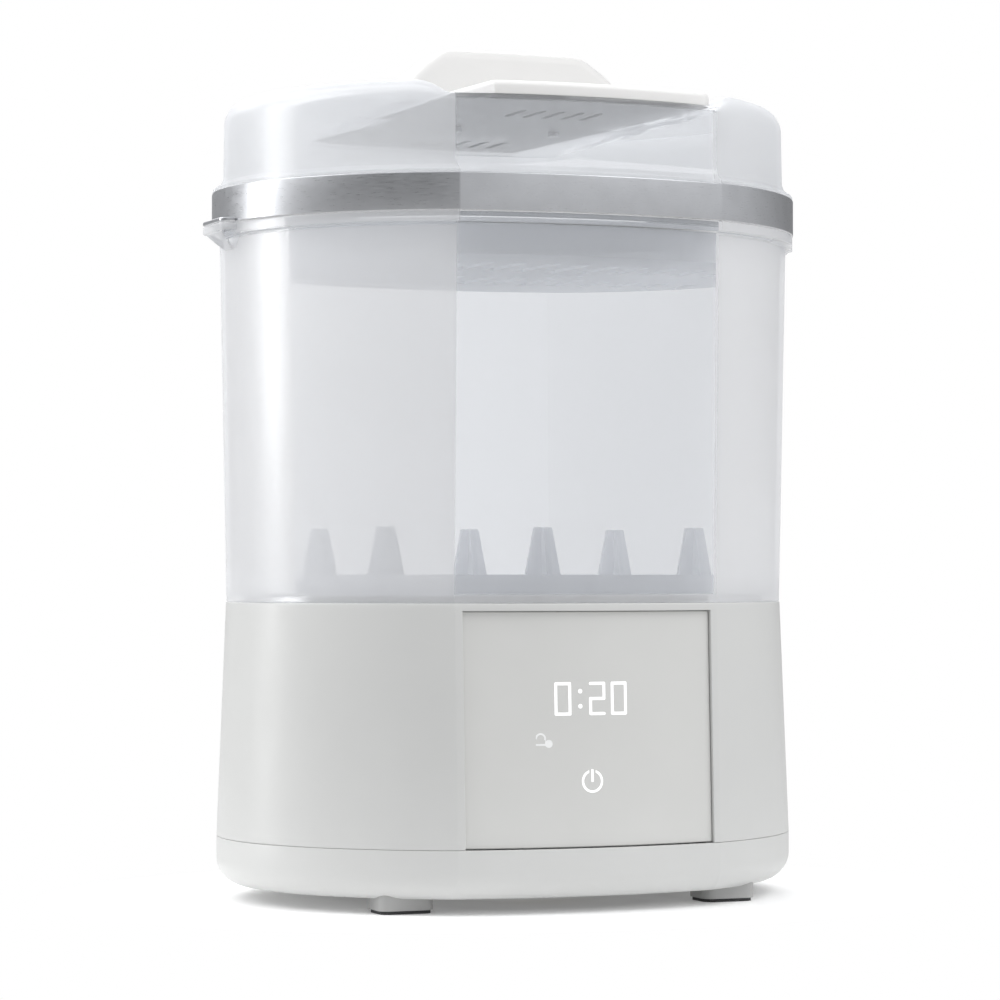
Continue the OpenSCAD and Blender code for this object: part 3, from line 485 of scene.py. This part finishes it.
FINISHES = {
    "body_white": plastic("body_white", (0.86, 0.855, 0.845), rough=0.38, soft=0.05),
    "base_white": plastic("base_white", (0.695, 0.70, 0.69), rough=0.36),
    "panel_grey": plastic("panel_grey", (0.725, 0.727, 0.71), rough=0.34, texture=0.5, sheen=0.1),
    "display_light": light("display_light", (1.0, 1.0, 0.99), 0.5),
    "board": plastic("board", (0.03, 0.16, 0.06), rough=0.3, texture=1.5, depth=0.03, drift=0.12),
    "black_plastic": plastic("black_plastic", (0.02, 0.02, 0.022), rough=0.45),
    "blue_plastic": plastic("blue_plastic", (0.02, 0.07, 0.30), rough=0.35),
    "foam": plastic("foam", (0.03, 0.03, 0.032), rough=0.9, texture=0.6, depth=0.25, drift=0.2),
    "ribbon": plastic("ribbon", (0.62, 0.63, 0.65), rough=0.4, texture=0.8, depth=0.05),
    "stainless": metal("stainless", (0.66, 0.66, 0.67), rough=0.28),
    "silicone": plastic("silicone", (0.62, 0.61, 0.58), rough=0.6, soft=0.2),
    "spreader": metal("spreader", (0.78, 0.79, 0.80), rough=0.4),
    "element": metal("element", (0.36, 0.35, 0.34), rough=0.45),
    "thermostat": plastic("thermostat", (0.035, 0.03, 0.028), rough=0.4),
    "fuse_sleeve": plastic("fuse_sleeve", (0.75, 0.73, 0.68), rough=0.6, texture=0.8, depth=0.08),
    "red_wire": plastic("red_wire", (0.45, 0.03, 0.02), rough=0.45),
    "mains_wire": plastic("mains_wire", (0.16, 0.08, 0.05), rough=0.45),
    "grey_plastic": plastic("grey_plastic", (0.42, 0.42, 0.43), rough=0.45),
    "dark_plastic": plastic("dark_plastic", (0.06, 0.065, 0.075), rough=0.4),
    "heater_fins": metal("heater_fins", (0.70, 0.46, 0.30), rough=0.35),
    "filter_paper": paper("filter_paper"),
    "filter_plastic": plastic("filter_plastic", (0.76, 0.76, 0.755), rough=0.42),
    "foot_grey": plastic("foot_grey", (0.42, 0.42, 0.415), rough=0.5),
    "foot_rubber": plastic("foot_rubber", (0.05, 0.05, 0.052), rough=0.75, texture=0.5, depth=0.04),
    "cord_white": plastic("cord_white", (0.74, 0.74, 0.73), rough=0.42, texture=0.6),
    "pin_metal": metal("pin_metal", (0.80, 0.70, 0.48), rough=0.22),
    "chamber_clear": moulded("chamber_clear", (0.975, 0.98, 0.99), (0.965, 0.967, 0.975), 0.42, DECK_Z + 3.5),
    "chamber_inside": clear_inside("chamber_inside", (0.98, 0.985, 0.992)),
    "lid_frosted": moulded("lid_frosted", (0.97, 0.975, 0.985), (0.90, 0.91, 0.925), 0.32, 0, 0.26),
    "lid_inside": clear_inside("lid_inside", (0.98, 0.985, 0.992)),
    "band_inside": plastic("band_inside", (0.88, 0.885, 0.89), rough=0.4, soft=0.1),
    "rack_milk": moulded("rack_milk", (1.0, 1.0, 1.0), (0.955, 0.96, 0.97), 0.3, high("bottle_rack").z),
    # Painted shade: the handle plate's white plastic made darker, so that the grip's front, which faces away
    # from the lamps, reads greyer
    "grip_white_painted_shade": plastic("grip_white_painted_shade", (0.72, 0.715, 0.705), rough=0.4, soft=0.05),
    "tray_milk": moulded("tray_milk", (1.0, 1.0, 1.0), (0.955, 0.96, 0.97), 0.35, high("accessory_tray").z),
    "plate_white": plastic("plate_white", (0.86, 0.855, 0.845), rough=0.38, soft=0.6, reach=12),
    "dim_light": light("dim_light", (1.0, 1.0, 1.0), 0.12),
    "band_grey": metal("band_grey", (0.52, 0.53, 0.55), rough=0.33, stretch=(0.05, 0.05, 1), size=0.25),
}


OWN_FINISH = {"bottle_rack": "rack_milk", "accessory_tray": "tray_milk", "mode_symbol": "dim_light"}


def finish_cad_nodes():
    """Gives every CAD node that stays its procedural material and smooth shading."""
    for name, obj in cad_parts.items():
        for slot in obj.material_slots:
            slot.material = FINISHES[OWN_FINISH.get(name, slot.material.name.split(".")[0])]
        shade(obj)


# ---------------------------------------------------------------- base


def shell_w(z):
    """Half width of the base shell's outer face, which tapers towards the deck."""
    return BUMPER_W + (DECK_W - BUMPER_W) * (z - SEAM_Z) / (DECK_Z - SEAM_Z)


PANEL_GAP = 0.3
RECESS_X = PANEL_X + PANEL_GAP
RECESS_TOP = PANEL_HIGH + PANEL_GAP
RECESS_DEEP = 3.8
BACKING = 2.4    # how much thicker the wall is behind the control panel
SKIN_DEEP = 0.9  # anything deeper than this below the outer face is an inner face
COVER_LOW, COVER_HIGH = low("filter_cover"), high("filter_cover")
COVER_GAP = 0.4
COVER_DEEP = 1.7
LIP = 0.35       # rounding of a recess's edge
STEP = 0.02      # width of a recess's side wall in plan, which keeps it nearly upright
LIP_PLACES = (-STEP, 0, 0.02, 0.08, 0.16, 0.26, LIP)


def recess(inside, deep):
    """Depth of a recess at a distance inside its edge: a small round, then a step."""
    if inside >= STEP:
        return deep
    if inside <= -LIP:
        return 0
    return LIP - math.sqrt(LIP**2 - min(LIP, inside + LIP) ** 2)


def sink_panel(w, x, z):
    if w < shell_w(z) - SKIN_DEEP:
        behind = abs(x) < PANEL_X + 2 and w > DECK_W - WALL - 3 and z < DECK_Z - WALL
        return BACKING if behind else 0
    return recess(min(RECESS_X - abs(x), RECESS_TOP - z), RECESS_DEEP)


def sink_cover(w, x, z):
    if w < shell_w(z) - SKIN_DEEP:
        return 0
    inside_x = min(COVER_HIGH.x + COVER_GAP - x, x - COVER_LOW.x + COVER_GAP)
    inside_z = min(COVER_HIGH.z + COVER_GAP - z, z - COVER_LOW.z + COVER_GAP)
    return recess(min(inside_x, inside_z), COVER_DEEP)


LONG_STRETCH = 50


def with_rows(path, heights):
    """Adds points to a path at the heights, on its long stretches that go down past them."""
    full = [path[0]]
    for a, b in zip(path, path[1:]):
        if a[1] - b[1] > LONG_STRETCH:
            inner = [z for z in heights if b[1] + 0.01 < z < a[1] - 0.01]
            slope = (b[0] - a[0]) / (b[1] - a[1])
            full += [(a[0] + slope * (z - a[1]), z) for z in sorted(inner, reverse=True)]
        full.append(b)
    return full


KEY_INNER_W = 116.7    # the raised rib on the deck that the chamber's foot fits round
KEY_OUTER_W = 119.4
KEY_RISE = 2.7
DECK_THICK = 4
BOARD_HOLE = (47, 42, 114)      # half width, lowest and highest height of the opening behind the panel
OUTLET_R = 26.5


def base_shell():
    front_edges = [s * (RECESS_X + d) for s in (-1, 1) for d in LIP_PLACES]
    back_edges = [COVER_HIGH.x + COVER_GAP + d for d in LIP_PLACES]
    back_edges += [COVER_LOW.x - COVER_GAP - d for d in LIP_PLACES]
    plan = Plan(columns(front_edges), columns(back_edges), sink_panel, sink_cover)
    deck = DECK_Z - 0.1
    path = rounded([
        (KEY_INNER_W, deck, 0), (KEY_INNER_W, deck + KEY_RISE, 0.4),
        (KEY_OUTER_W - 0.1, deck + KEY_RISE, 0.4), (KEY_OUTER_W, deck, 0.3),
        (DECK_W, deck, 0.6), (BUMPER_W, SEAM_Z + 0.4, 0.25), (BUMPER_W - WALL, SEAM_Z + 0.4, 0.5),
        (DECK_W - WALL, deck - DECK_THICK, 1.5), (112, deck - DECK_THICK, 0),
    ])
    rows = [RECESS_TOP + d for d in LIP_PLACES]
    rows += [COVER_HIGH.z + COVER_GAP + d for d in LIP_PLACES]
    rows += [COVER_LOW.z - COVER_GAP - d for d in LIP_PLACES]
    rows += spread(70, 120, 5)
    body = Mesh()
    body.loft([plan.ring(w, z) for w, z in with_rows(path, rows)], caps=True)
    obj = body.build("base_casing")
    dish_low, dish_high = low("heater_dish"), high("heater_dish")
    dish_x = (dish_low.x + dish_high.x) / 2
    fan_x = (low("fan_housing").x + high("fan_housing").x) / 2
    dish_r = (dish_high.x - dish_low.x) / 2 - 4
    frame_low, frame_high = low("filter_frame"), high("filter_frame")
    half_x, hole_low, hole_high = BOARD_HOLE
    combine(obj, [
        rod(dish_x, 0, deck - 12, deck + 12, dish_r, 96),
        rod(fan_x, 0, deck - 12, deck + 12, OUTLET_R, 64),
        block((-half_x, -FACE_Y - 5, hole_low), (half_x, -90, hole_high)),
        block((frame_low.x - 2, 60, frame_low.z - 2), (frame_high.x + 2, FACE_Y + 5, frame_high.z + 2)),
    ])
    finish_piece(obj, "base", ["base_shell"], FINISHES["base_white"])


def control_panel():
    """A curved plate with rounded edges, a hair below the lit windows so that they stand in its face."""
    edge = 0.35
    thick = 1.7
    skin = 2.04
    falls = [edge * (1 - math.cos(math.pi / 2 * i / 5)) for i in range(6)]

    def places(first, last, count):
        """Places from first to last, crowded into the rounding at both ends."""
        ends = [first + f for f in falls] + [last - f for f in falls]
        return sorted(set(ends + spread(first + 2, last - 2, count)))

    xs = places(-PANEL_X, PANEL_X, 24)
    zs = places(PANEL_LOW, PANEL_HIGH, 12)
    body = Mesh()

    def point(x, z, back):
        inside = min(PANEL_X - abs(x), z - PANEL_LOW, PANEL_HIGH - z)
        fall = edge - math.sqrt(edge**2 - max(0, edge - inside) ** 2)
        deep = thick + skin if back else skin + fall
        return (x, -face_y(shell_w(z) - deep, x), z)

    borders = []
    for back in (False, True):
        rows = [body.add([point(x, z, back) for x in xs]) for z in zs]
        for a, b in zip(rows, rows[1:]):
            body.strip(a, b, closed=False)
        right = [row[-1] for row in rows[1:-1]]
        left = [row[0] for row in rows[-2:0:-1]]
        borders.append(rows[0] + right + rows[-1][::-1] + left)
    body.strip(borders[0], borders[1])
    obj = body.build("control_panel")
    finish_piece(obj, "base", ["front_panel"], FINISHES["panel_grey"])


def bumper():
    """The lower housing: a rounded bumper with the cord's well in its underside."""
    bottom_r = 12
    inner = bottom_r - WALL
    centre = (BUMPER_W - bottom_r, GROUND_GAP + bottom_r)
    path = [(centre[0] - 4, GROUND_GAP)]
    path += arc(*centre, bottom_r, -90, 0, 10)
    top = SEAM_Z + 0.25
    inner_w = BUMPER_W - WALL
    path += rounded([
        (BUMPER_W, centre[1], 0), (BUMPER_W, top, 0.25), (inner_w, top, 0.4), (inner_w, centre[1], 0),
    ])[1:]
    path += arc(*centre, inner, 0, -90, 8)[1:]
    path.append((centre[0] - 4, GROUND_GAP + WALL))
    body = Mesh()
    body.loft([Plan().ring(w, z) for w, z in path], caps=True)
    obj = body.build("bumper_casing")
    well_r = 81
    roof_z = 18.5
    combine(obj, [rod(0, 0, GROUND_GAP + 0.7, roof_z + 2.5, well_r + 2.5, 128)], "UNION")
    well = rod(0, 0, GROUND_GAP - 1, roof_z, well_r, 128)
    hooks = []
    for degrees in (45, 135, 225, 315):
        hook = block((well_r - 9, -5, GROUND_GAP - 2), (well_r + 3, 5, GROUND_GAP))
        hook.data.transform(Matrix.Rotation(math.radians(degrees), 4, "Z"))
        hooks.append(hook)
    combine(obj, [well])
    combine(obj, hooks, "UNION")
    finish_piece(obj, "base", ["lower_housing"], FINISHES["base_white"])


# ---------------------------------------------------------------- chamber


def chamber():
    body = Mesh()
    ledge_z = RIM_Z - 4.7
    ledge_w = RIM_W - 3
    foot_w = KEY_OUTER_W + 0.5
    foot_z = DECK_Z + 2.9
    path = rounded([
        (CHAMBER_LOW_W, DECK_Z, 0.5), (CHAMBER_HIGH_W, RIM_Z - 6, 0.8), (RIM_W, RIM_Z - 4.5, 0.7),
        (RIM_W, RIM_Z, 0.6), (ledge_w, RIM_Z, 0.6), (ledge_w, ledge_z, 0.3),
        (CHAMBER_HIGH_W - CLEAR_WALL, ledge_z, 0.5), (CHAMBER_LOW_W - CLEAR_WALL, foot_z, 1.2),
        (foot_w, foot_z, 0.3), (foot_w, DECK_Z, 0.3),
    ])
    body.loft([Plan().ring(w, z) for w, z in path], closed=True)
    obj = body.build("chamber_wall")
    combine(obj, [lug(s, RIM_Z - 4, RIM_Z - 0.2, gusset=7) for s in (-1, 1)], "UNION")
    outside, inside = FINISHES["chamber_clear"], FINISHES["chamber_inside"]
    finish_piece(obj, "chamber", ["chamber"], outside, inside)


# ---------------------------------------------------------------- lid

POD_R = 10        # rounding from the lid's wall to a pod's top
FLANK_R = 14      # rounding from a pod's top to the channel
CHANNEL_X = 61
POD_RISE = POD_Z - CHANNEL_Z
FLOOR_W = LID_W - POD_R + math.sqrt(POD_R**2 - (CHANNEL_Z - POD_Z + POD_R) ** 2)


def pod_height(x, y):
    """Height of a pod's top, which is rounded to the lid's wall and to the channel's floor."""
    w = math.hypot(x, y / SIDE_RATIO)
    outer = max(0.0, w - (LID_W - POD_R))
    outer_z = POD_Z - POD_R + math.sqrt(max(0, POD_R**2 - outer**2))
    inner = max(0.0, CHANNEL_X + FLANK_R - abs(x))
    inner_z = POD_Z - FLANK_R + math.sqrt(max(0, FLANK_R**2 - inner**2))
    return CHANNEL_Z + max(0, outer_z - CHANNEL_Z) * max(0, inner_z - CHANNEL_Z) / POD_RISE


def lid_top(body, ring):
    """Closes the top of the lid over its highest wall ring: two pods and the channel's floor between them."""
    plan = Plan()
    n_face = len(plan.front)
    n_side = len(side_angles(FLOOR_W))
    steps = 24
    reach = 0.74      # how far along the channel the inner end of a pod's first column lies
    rims = []
    starts = [n_face - 1, 2 * n_face + n_side - 1]
    for side, start in zip((1, -1), starts):
        outer = [ring[(start + i) % len(ring)] for i in range(n_side + 2)]
        columns_made = []
        for i, index in enumerate(outer):
            x, y, z = body.points[index]
            end = (side * CREASE_X, y if abs(y) < 1e-6 else reach * y)
            column = [index]
            for k in range(1, steps + 1):
                s = (1 - math.cos(math.pi * k / steps)) / 2
                px, py = x + (end[0] - x) * s, y + (end[1] - y) * s
                on_channel = k == steps or i in (0, len(outer) - 1)
                height = CHANNEL_Z if on_channel else pod_height(px, py)
                column += body.add([(px, py, height)])
            columns_made.append(column)
        for a, b in zip(columns_made, columns_made[1:]):
            body.strip(b, a, closed=False)
        foot = columns_made[0] + [c[-1] for c in columns_made[1:-1]] + columns_made[-1][::-1]
        rims.append(foot)
    front = [ring[i] for i in range(n_face)]
    back = [ring[n_face + n_side + i] for i in range(n_face)]
    outline = front + rims[0][1:-1] + back + rims[1][1:-1]
    body.faces.append(tuple(outline))


def thicken(body, count, thickness):
    """Adds an inner copy of the skin's first count points, moved inwards by the wall's thickness."""
    normals = {i: [] for i in range(count)}
    for face in body.faces:
        corners = np.array([body.points[i] for i in face])
        following = np.roll(corners, -1, axis=0)
        normal = np.cross(corners, following).sum(axis=0)
        length = np.linalg.norm(normal)
        if length < 1e-9:
            continue
        for i in face:
            normals[i].append(normal / length)
    inner = []
    for i in range(count):
        around = np.array(normals[i])
        shift = np.linalg.lstsq(around, np.full(len(around), -thickness), rcond=0.25)[0]
        inner.append(tuple(np.array(body.points[i]) + shift))
    return body.add(inner)


def vent_slots(z0, z1):
    """Cutters for the rows of steam slots, at both ends of the channel."""
    pitch, row_y, half_length = 9, 56, 10.5
    return [rod(pitch * i, s * row_y, z0, z1, 1.5, 16, half_length) for i in range(-2, 3) for s in (-1, 1)]


def lid():
    flange_z = BAND_Z + 0.05
    foot_z = SHELF_Z + 0.05
    skin_z = flange_z + 7
    skin_path = rounded([(LID_W + 0.4, skin_z, 0), (LID_W, POD_Z - POD_R, 0)])
    top_angle = math.degrees(math.asin((CHANNEL_Z - POD_Z + POD_R) / POD_R))
    skin_path += arc(LID_W - POD_R, POD_Z - POD_R, POD_R, 0, top_angle, 3)[1:]
    body = Mesh()
    rows = body.loft([Plan().ring(w, z) for w, z in skin_path])
    lid_top(body, rows[-1])
    count = len(body.points)
    outer_faces = list(body.faces)
    inner = thicken(body, count, CLEAR_WALL)
    body.faces += [tuple(inner[i] for i in reversed(face)) for face in outer_faces]
    lower = rounded([
        (LID_W + 0.4, skin_z, 0), (LID_W + 1.8, flange_z + 3.6, 0.8), (FLANGE_W, flange_z + 1.4, 0.6),
        (FLANGE_W, flange_z, 0.3), (SKIRT_W, flange_z, 0.2), (SKIRT_W, foot_z, 0.3),
        (SKIRT_W - CLEAR_WALL, foot_z, 0.3), (SKIRT_W - CLEAR_WALL, flange_z + 2, 0),
    ])[1:]
    chain = [rows[0]] + [body.add(Plan().ring(w, z)) for w, z in lower] + [inner[: len(rows[0])]]
    for a, b in zip(chain, chain[1:]):
        body.strip(a, b)
    obj = body.build("lid_cover")
    z0, z1 = CHANNEL_Z - 8, CHANNEL_Z + 8
    screw_holes = [rod(s * 24, 0, z0, z1, 1.8, 32) for s in (-1, 1)]
    combine(obj, vent_slots(z0, z1) + screw_holes)
    outside, inside = FINISHES["lid_frosted"], FINISHES["lid_inside"]
    finish_piece(obj, "lid", ["lid_shell"], outside, inside)


def band():
    body = Mesh()
    low_z = RIM_Z + 0.1
    lip_z = RIM_Z - 2
    seat_w = SKIRT_W + 0.05
    inner_w = SKIRT_W - CLEAR_WALL
    path = rounded([
        (BAND_W, low_z, 0.4), (BAND_W, BAND_Z, 0.5), (seat_w, BAND_Z, 0.2), (seat_w, SHELF_Z, 0.2),
        (inner_w, SHELF_Z, 0.3), (inner_w, lip_z, 0.5), (SKIRT_W, lip_z, 0.5), (SKIRT_W, low_z, 0.2),
    ])
    body.loft([Plan().ring(w, z) for w, z in path], closed=True)
    obj = body.build("trim_band")
    combine(obj, [lug(s, low_z, low_z + 1.8, 0.5) for s in (-1, 1)], "UNION")
    outside, inside = FINISHES["band_grey"], FINISHES["band_inside"]
    finish_piece(obj, "lid", ["lid_band"], outside, inside)


def plate_outline(inset, steps=10):
    """Outline of the handle plate: bowed ends, straight sides and large round corners, moved in by inset."""
    corner = 12
    half = 60.7
    centre_y = math.sqrt(FACE_R**2 - CREASE_X**2) - crease_y(LID_W)
    cx = half - corner
    cy = centre_y - math.sqrt((FACE_R - corner) ** 2 - cx**2)
    tangent = math.degrees(math.atan2(cy - centre_y, cx))
    front = arc(0, centre_y, FACE_R - inset, -180 - tangent, tangent, 16)[1:-1]
    right = arc(cx, cy, corner - inset, tangent, 0, steps)
    half_outline = front + right
    return half_outline + [(-x, -y) for x, y in half_outline]


def handle_plate():
    body = Mesh()
    path = rounded([(4, CHANNEL_Z, 0), (0, CHANNEL_Z, 0.5), (0, PLATE_Z, 2.4), (8, PLATE_Z, 0)], 6)
    body.loft([[(x, y, z) for x, y in plate_outline(inset)] for inset, z in path], caps=True)
    obj = body.build("handle_saddle")
    combine(obj, vent_slots(CHANNEL_Z - 3, PLATE_Z + 3))
    finish_piece(obj, "lid", ["handle_plate"], FINISHES["plate_white"])


def grip():
    """A low trapezoid with a flared foot, lofted from its front face to its back face with rounded edges."""
    foot_z = low("grip").z
    half_x = high("grip").x
    half_y = high("grip").y
    edge = 5
    top_r = 14
    flare = [(0, 0), (1.3, 2), (3.6, 6), (9, 12.5), (14.5, 18)]
    side = [(half_x - inwards, foot_z + rise) for inwards, rise in flare]
    side += arc(28, GRIP_Z - top_r, top_r, 48, 90, 8)
    outline = side + [(x, GRIP_Z) for x in spread(20, -20, 4)] + [(-x, z) for x, z in side[::-1]]
    around = [Vector(p) for p in outline]

    def inset(distance):
        """The outline moved inwards, except along the foot."""
        moved = []
        for i, p in enumerate(around):
            before = around[max(0, i - 1)]
            after = around[min(len(around) - 1, i + 1)]
            along = (after - before).normalized()
            inward = Vector((-along.y, along.x))
            q = p + inward * distance
            moved.append((q.x, max(foot_z, q.y) if 0 < i < len(around) - 1 else foot_z))
        return moved

    def half_depth(z):
        return half_y - 4 * (z - foot_z) / (GRIP_Z - foot_z - 5)

    body = Mesh()
    turns = [math.pi / 2 * i / 6 for i in range(7)]
    layers = [(edge * (1 - math.sin(t)), edge * (1 - math.cos(t))) for t in turns]
    rings = [[(x, -(half_depth(z) - back), z) for x, z in inset(side_in)] for side_in, back in layers]
    rings += [[(x, half_depth(z) - back, z) for x, z in inset(side_in)] for side_in, back in reversed(layers)]
    body.loft(rings, caps=True)
    obj = body.build("grip_handle")
    finish_piece(obj, "lid", ["grip"], FINISHES["grip_white_painted_shade"])


# ---------------------------------------------------------------- studio

HEADING = math.radians(22.1)    # the camera looks along +Y turned by this much towards +X
PITCH = math.radians(1.14)
CAMERA_PLACE = (-0.6041, -1.4815, 0.1464)    # metres
LENS = 126.7
MIDDLE = Vector((0, 0, 0.19))    # metres
LAMP_DISTANCE = 1.6


def softbox(name, heading, height, size, power):
    """A rectangular lamp that faces the object. Heading 0 is the front, and 90 is the right."""
    around, up = math.radians(heading), math.radians(height)
    direction = Vector((math.sin(around) * math.cos(up), -math.cos(around) * math.cos(up), math.sin(up)))
    lamp = bpy.data.lights.new(name, "AREA")
    lamp.shape = "RECTANGLE"
    lamp.size, lamp.size_y = size
    lamp.energy = power
    obj = bpy.data.objects.new(name, lamp)
    obj.location = MIDDLE + direction * LAMP_DISTANCE
    obj.rotation_euler = direction.to_track_quat("Z", "Y").to_euler()
    bpy.context.scene.collection.objects.link(obj)


# Brightness of the surroundings at each heading, as the object's sides mirror them
SURROUNDINGS = [
    (-180, 0.35), (-140, 0.35), (-126, 0.65), (-106, 0.8), (-90, 0.5), (-70, 0.27), (-26, 0.27), (-12, 0.8),
    (52, 0.85), (88, 0.7), (112, 0.35), (160, 0.15), (180, 0.35),
]
OVERHEAD = 0.8
FLOOR_GLOW = 0.7    # light that the floor gives the object, while the camera sees it white


def surroundings(tree, direction):
    """Strength of the light from the surroundings: by heading near the horizon, even overhead."""
    split = node(tree, "SeparateXYZ", {0: direction})
    behind = node(tree, "Math", {0: split.outputs["Y"], 1: -1}, operation="MULTIPLY").outputs[0]
    heading = node(tree, "Math", {0: split.outputs["X"], 1: behind}, operation="ARCTAN2").outputs[0]
    turn = remap(tree, heading, 0, 1, -math.pi, math.pi)
    ramp = node(tree, "ValToRGB", {0: turn})
    elements = ramp.color_ramp.elements
    while len(elements) < len(SURROUNDINGS):
        elements.new(0.5)
    top = max(value for _, value in SURROUNDINGS)
    for element, (degrees, value) in zip(elements, SURROUNDINGS):
        element.position = (degrees + 180) / 360
        element.color = (value / top,) * 3 + (1,)
    level = node(tree, "Math", {0: ramp.outputs["Color"], 1: top}, operation="MULTIPLY").outputs[0]
    up = smooth_step(tree, split.outputs["Z"], 0.35, 0.75)
    inputs = {"Factor": up, "A": level, "B": OVERHEAD}
    return node(tree, "Mix", inputs, data_type="FLOAT").outputs[0]


def studio():
    scene = bpy.context.scene
    scene.view_settings.view_transform = "Standard"
    scene.cycles.transparent_max_bounces = 32
    scene.cycles.max_bounces = 12
    world = bpy.data.worlds.new("studio")
    scene.world = world
    world.use_nodes = True
    tree = world.node_tree
    tree.nodes.clear()
    camera_ray = node(tree, "LightPath").outputs["Is Camera Ray"]
    strength = surroundings(tree, node(tree, "TexCoord").outputs["Generated"])
    ambient = node(tree, "Background", {"Color": (0.98, 0.985, 1.0, 1), "Strength": strength}).outputs[0]
    seen = node(tree, "Background", {"Color": RENDER_WHITE, "Strength": 1.0}).outputs[0]
    mixed = node(tree, "MixShader", {0: camera_ray, 1: ambient, 2: seen}).outputs[0]
    out = node(tree, "OutputWorld")
    tree.links.new(mixed, out.inputs["Surface"])
    softbox("left_strip", -116, 6, (0.28, 1.3), 8)
    softbox("left_key", -100, 42, (1.0, 1.0), 8)
    softbox("right_fill", 40, 48, (1.1, 1.0), 8)
    softbox("back_light", 180, 42, (1.8, 1.1), 13)
    softbox("lid_light", -20, 78, (1.2, 1.2), 3)


FADE_START = 138    # the floor turns from a sheet that takes shadows into even white between these
FADE_END = 215


def floor():
    half = 4.0
    mesh = bpy.data.meshes.new("floor")
    corners = [(-half, -half, 0), (half, -half, 0), (half, half, 0), (-half, half, 0)]
    mesh.from_pydata(corners, [], [(0, 1, 2, 3)])
    obj = bpy.data.objects.new("floor", mesh)
    bpy.context.scene.collection.objects.link(obj)
    material, tree = new_material("floor")
    oval = place(tree, (1, 1 / SIDE_RATIO, 1))
    distance = node(tree, "VectorMath", {0: oval}, operation="LENGTH").outputs["Value"]
    away = smooth_step(tree, distance, FADE_START, FADE_END)
    near = node(tree, "BsdfDiffuse", {"Color": tinted(tree, (0.92, 0.92, 0.92), 0.004, 200)}).outputs[0]
    lift = node(tree, "Emission", {"Color": RENDER_WHITE, "Strength": 0.12}).outputs[0]
    lifted = node(tree, "AddShader", {0: near, 1: lift}).outputs[0]
    seen = remap(tree, node(tree, "LightPath").outputs["Is Camera Ray"], FLOOR_GLOW, 1, 0, 1)
    sheet = node(tree, "Emission", {"Color": RENDER_WHITE, "Strength": seen}).outputs[0]
    close_material(tree, node(tree, "MixShader", {0: away, 1: lifted, 2: sheet}).outputs[0])
    mesh.materials.append(material)


def camera():
    data = bpy.data.cameras.new("camera")
    data.lens = LENS
    data.sensor_width = 36
    obj = bpy.data.objects.new("camera", data)
    level = Vector((math.sin(HEADING), math.cos(HEADING), 0))
    direction = level * math.cos(PITCH) + Vector((0, 0, math.sin(PITCH)))
    obj.location = CAMERA_PLACE
    obj.rotation_euler = direction.to_track_quat("-Z", "Y").to_euler()
    bpy.context.scene.collection.objects.link(obj)
    bpy.context.scene.camera = obj


finish_cad_nodes()
bumper()
base_shell()
control_panel()
chamber()
lid()
band()
handle_plate()
grip()
floor()
studio()
camera()
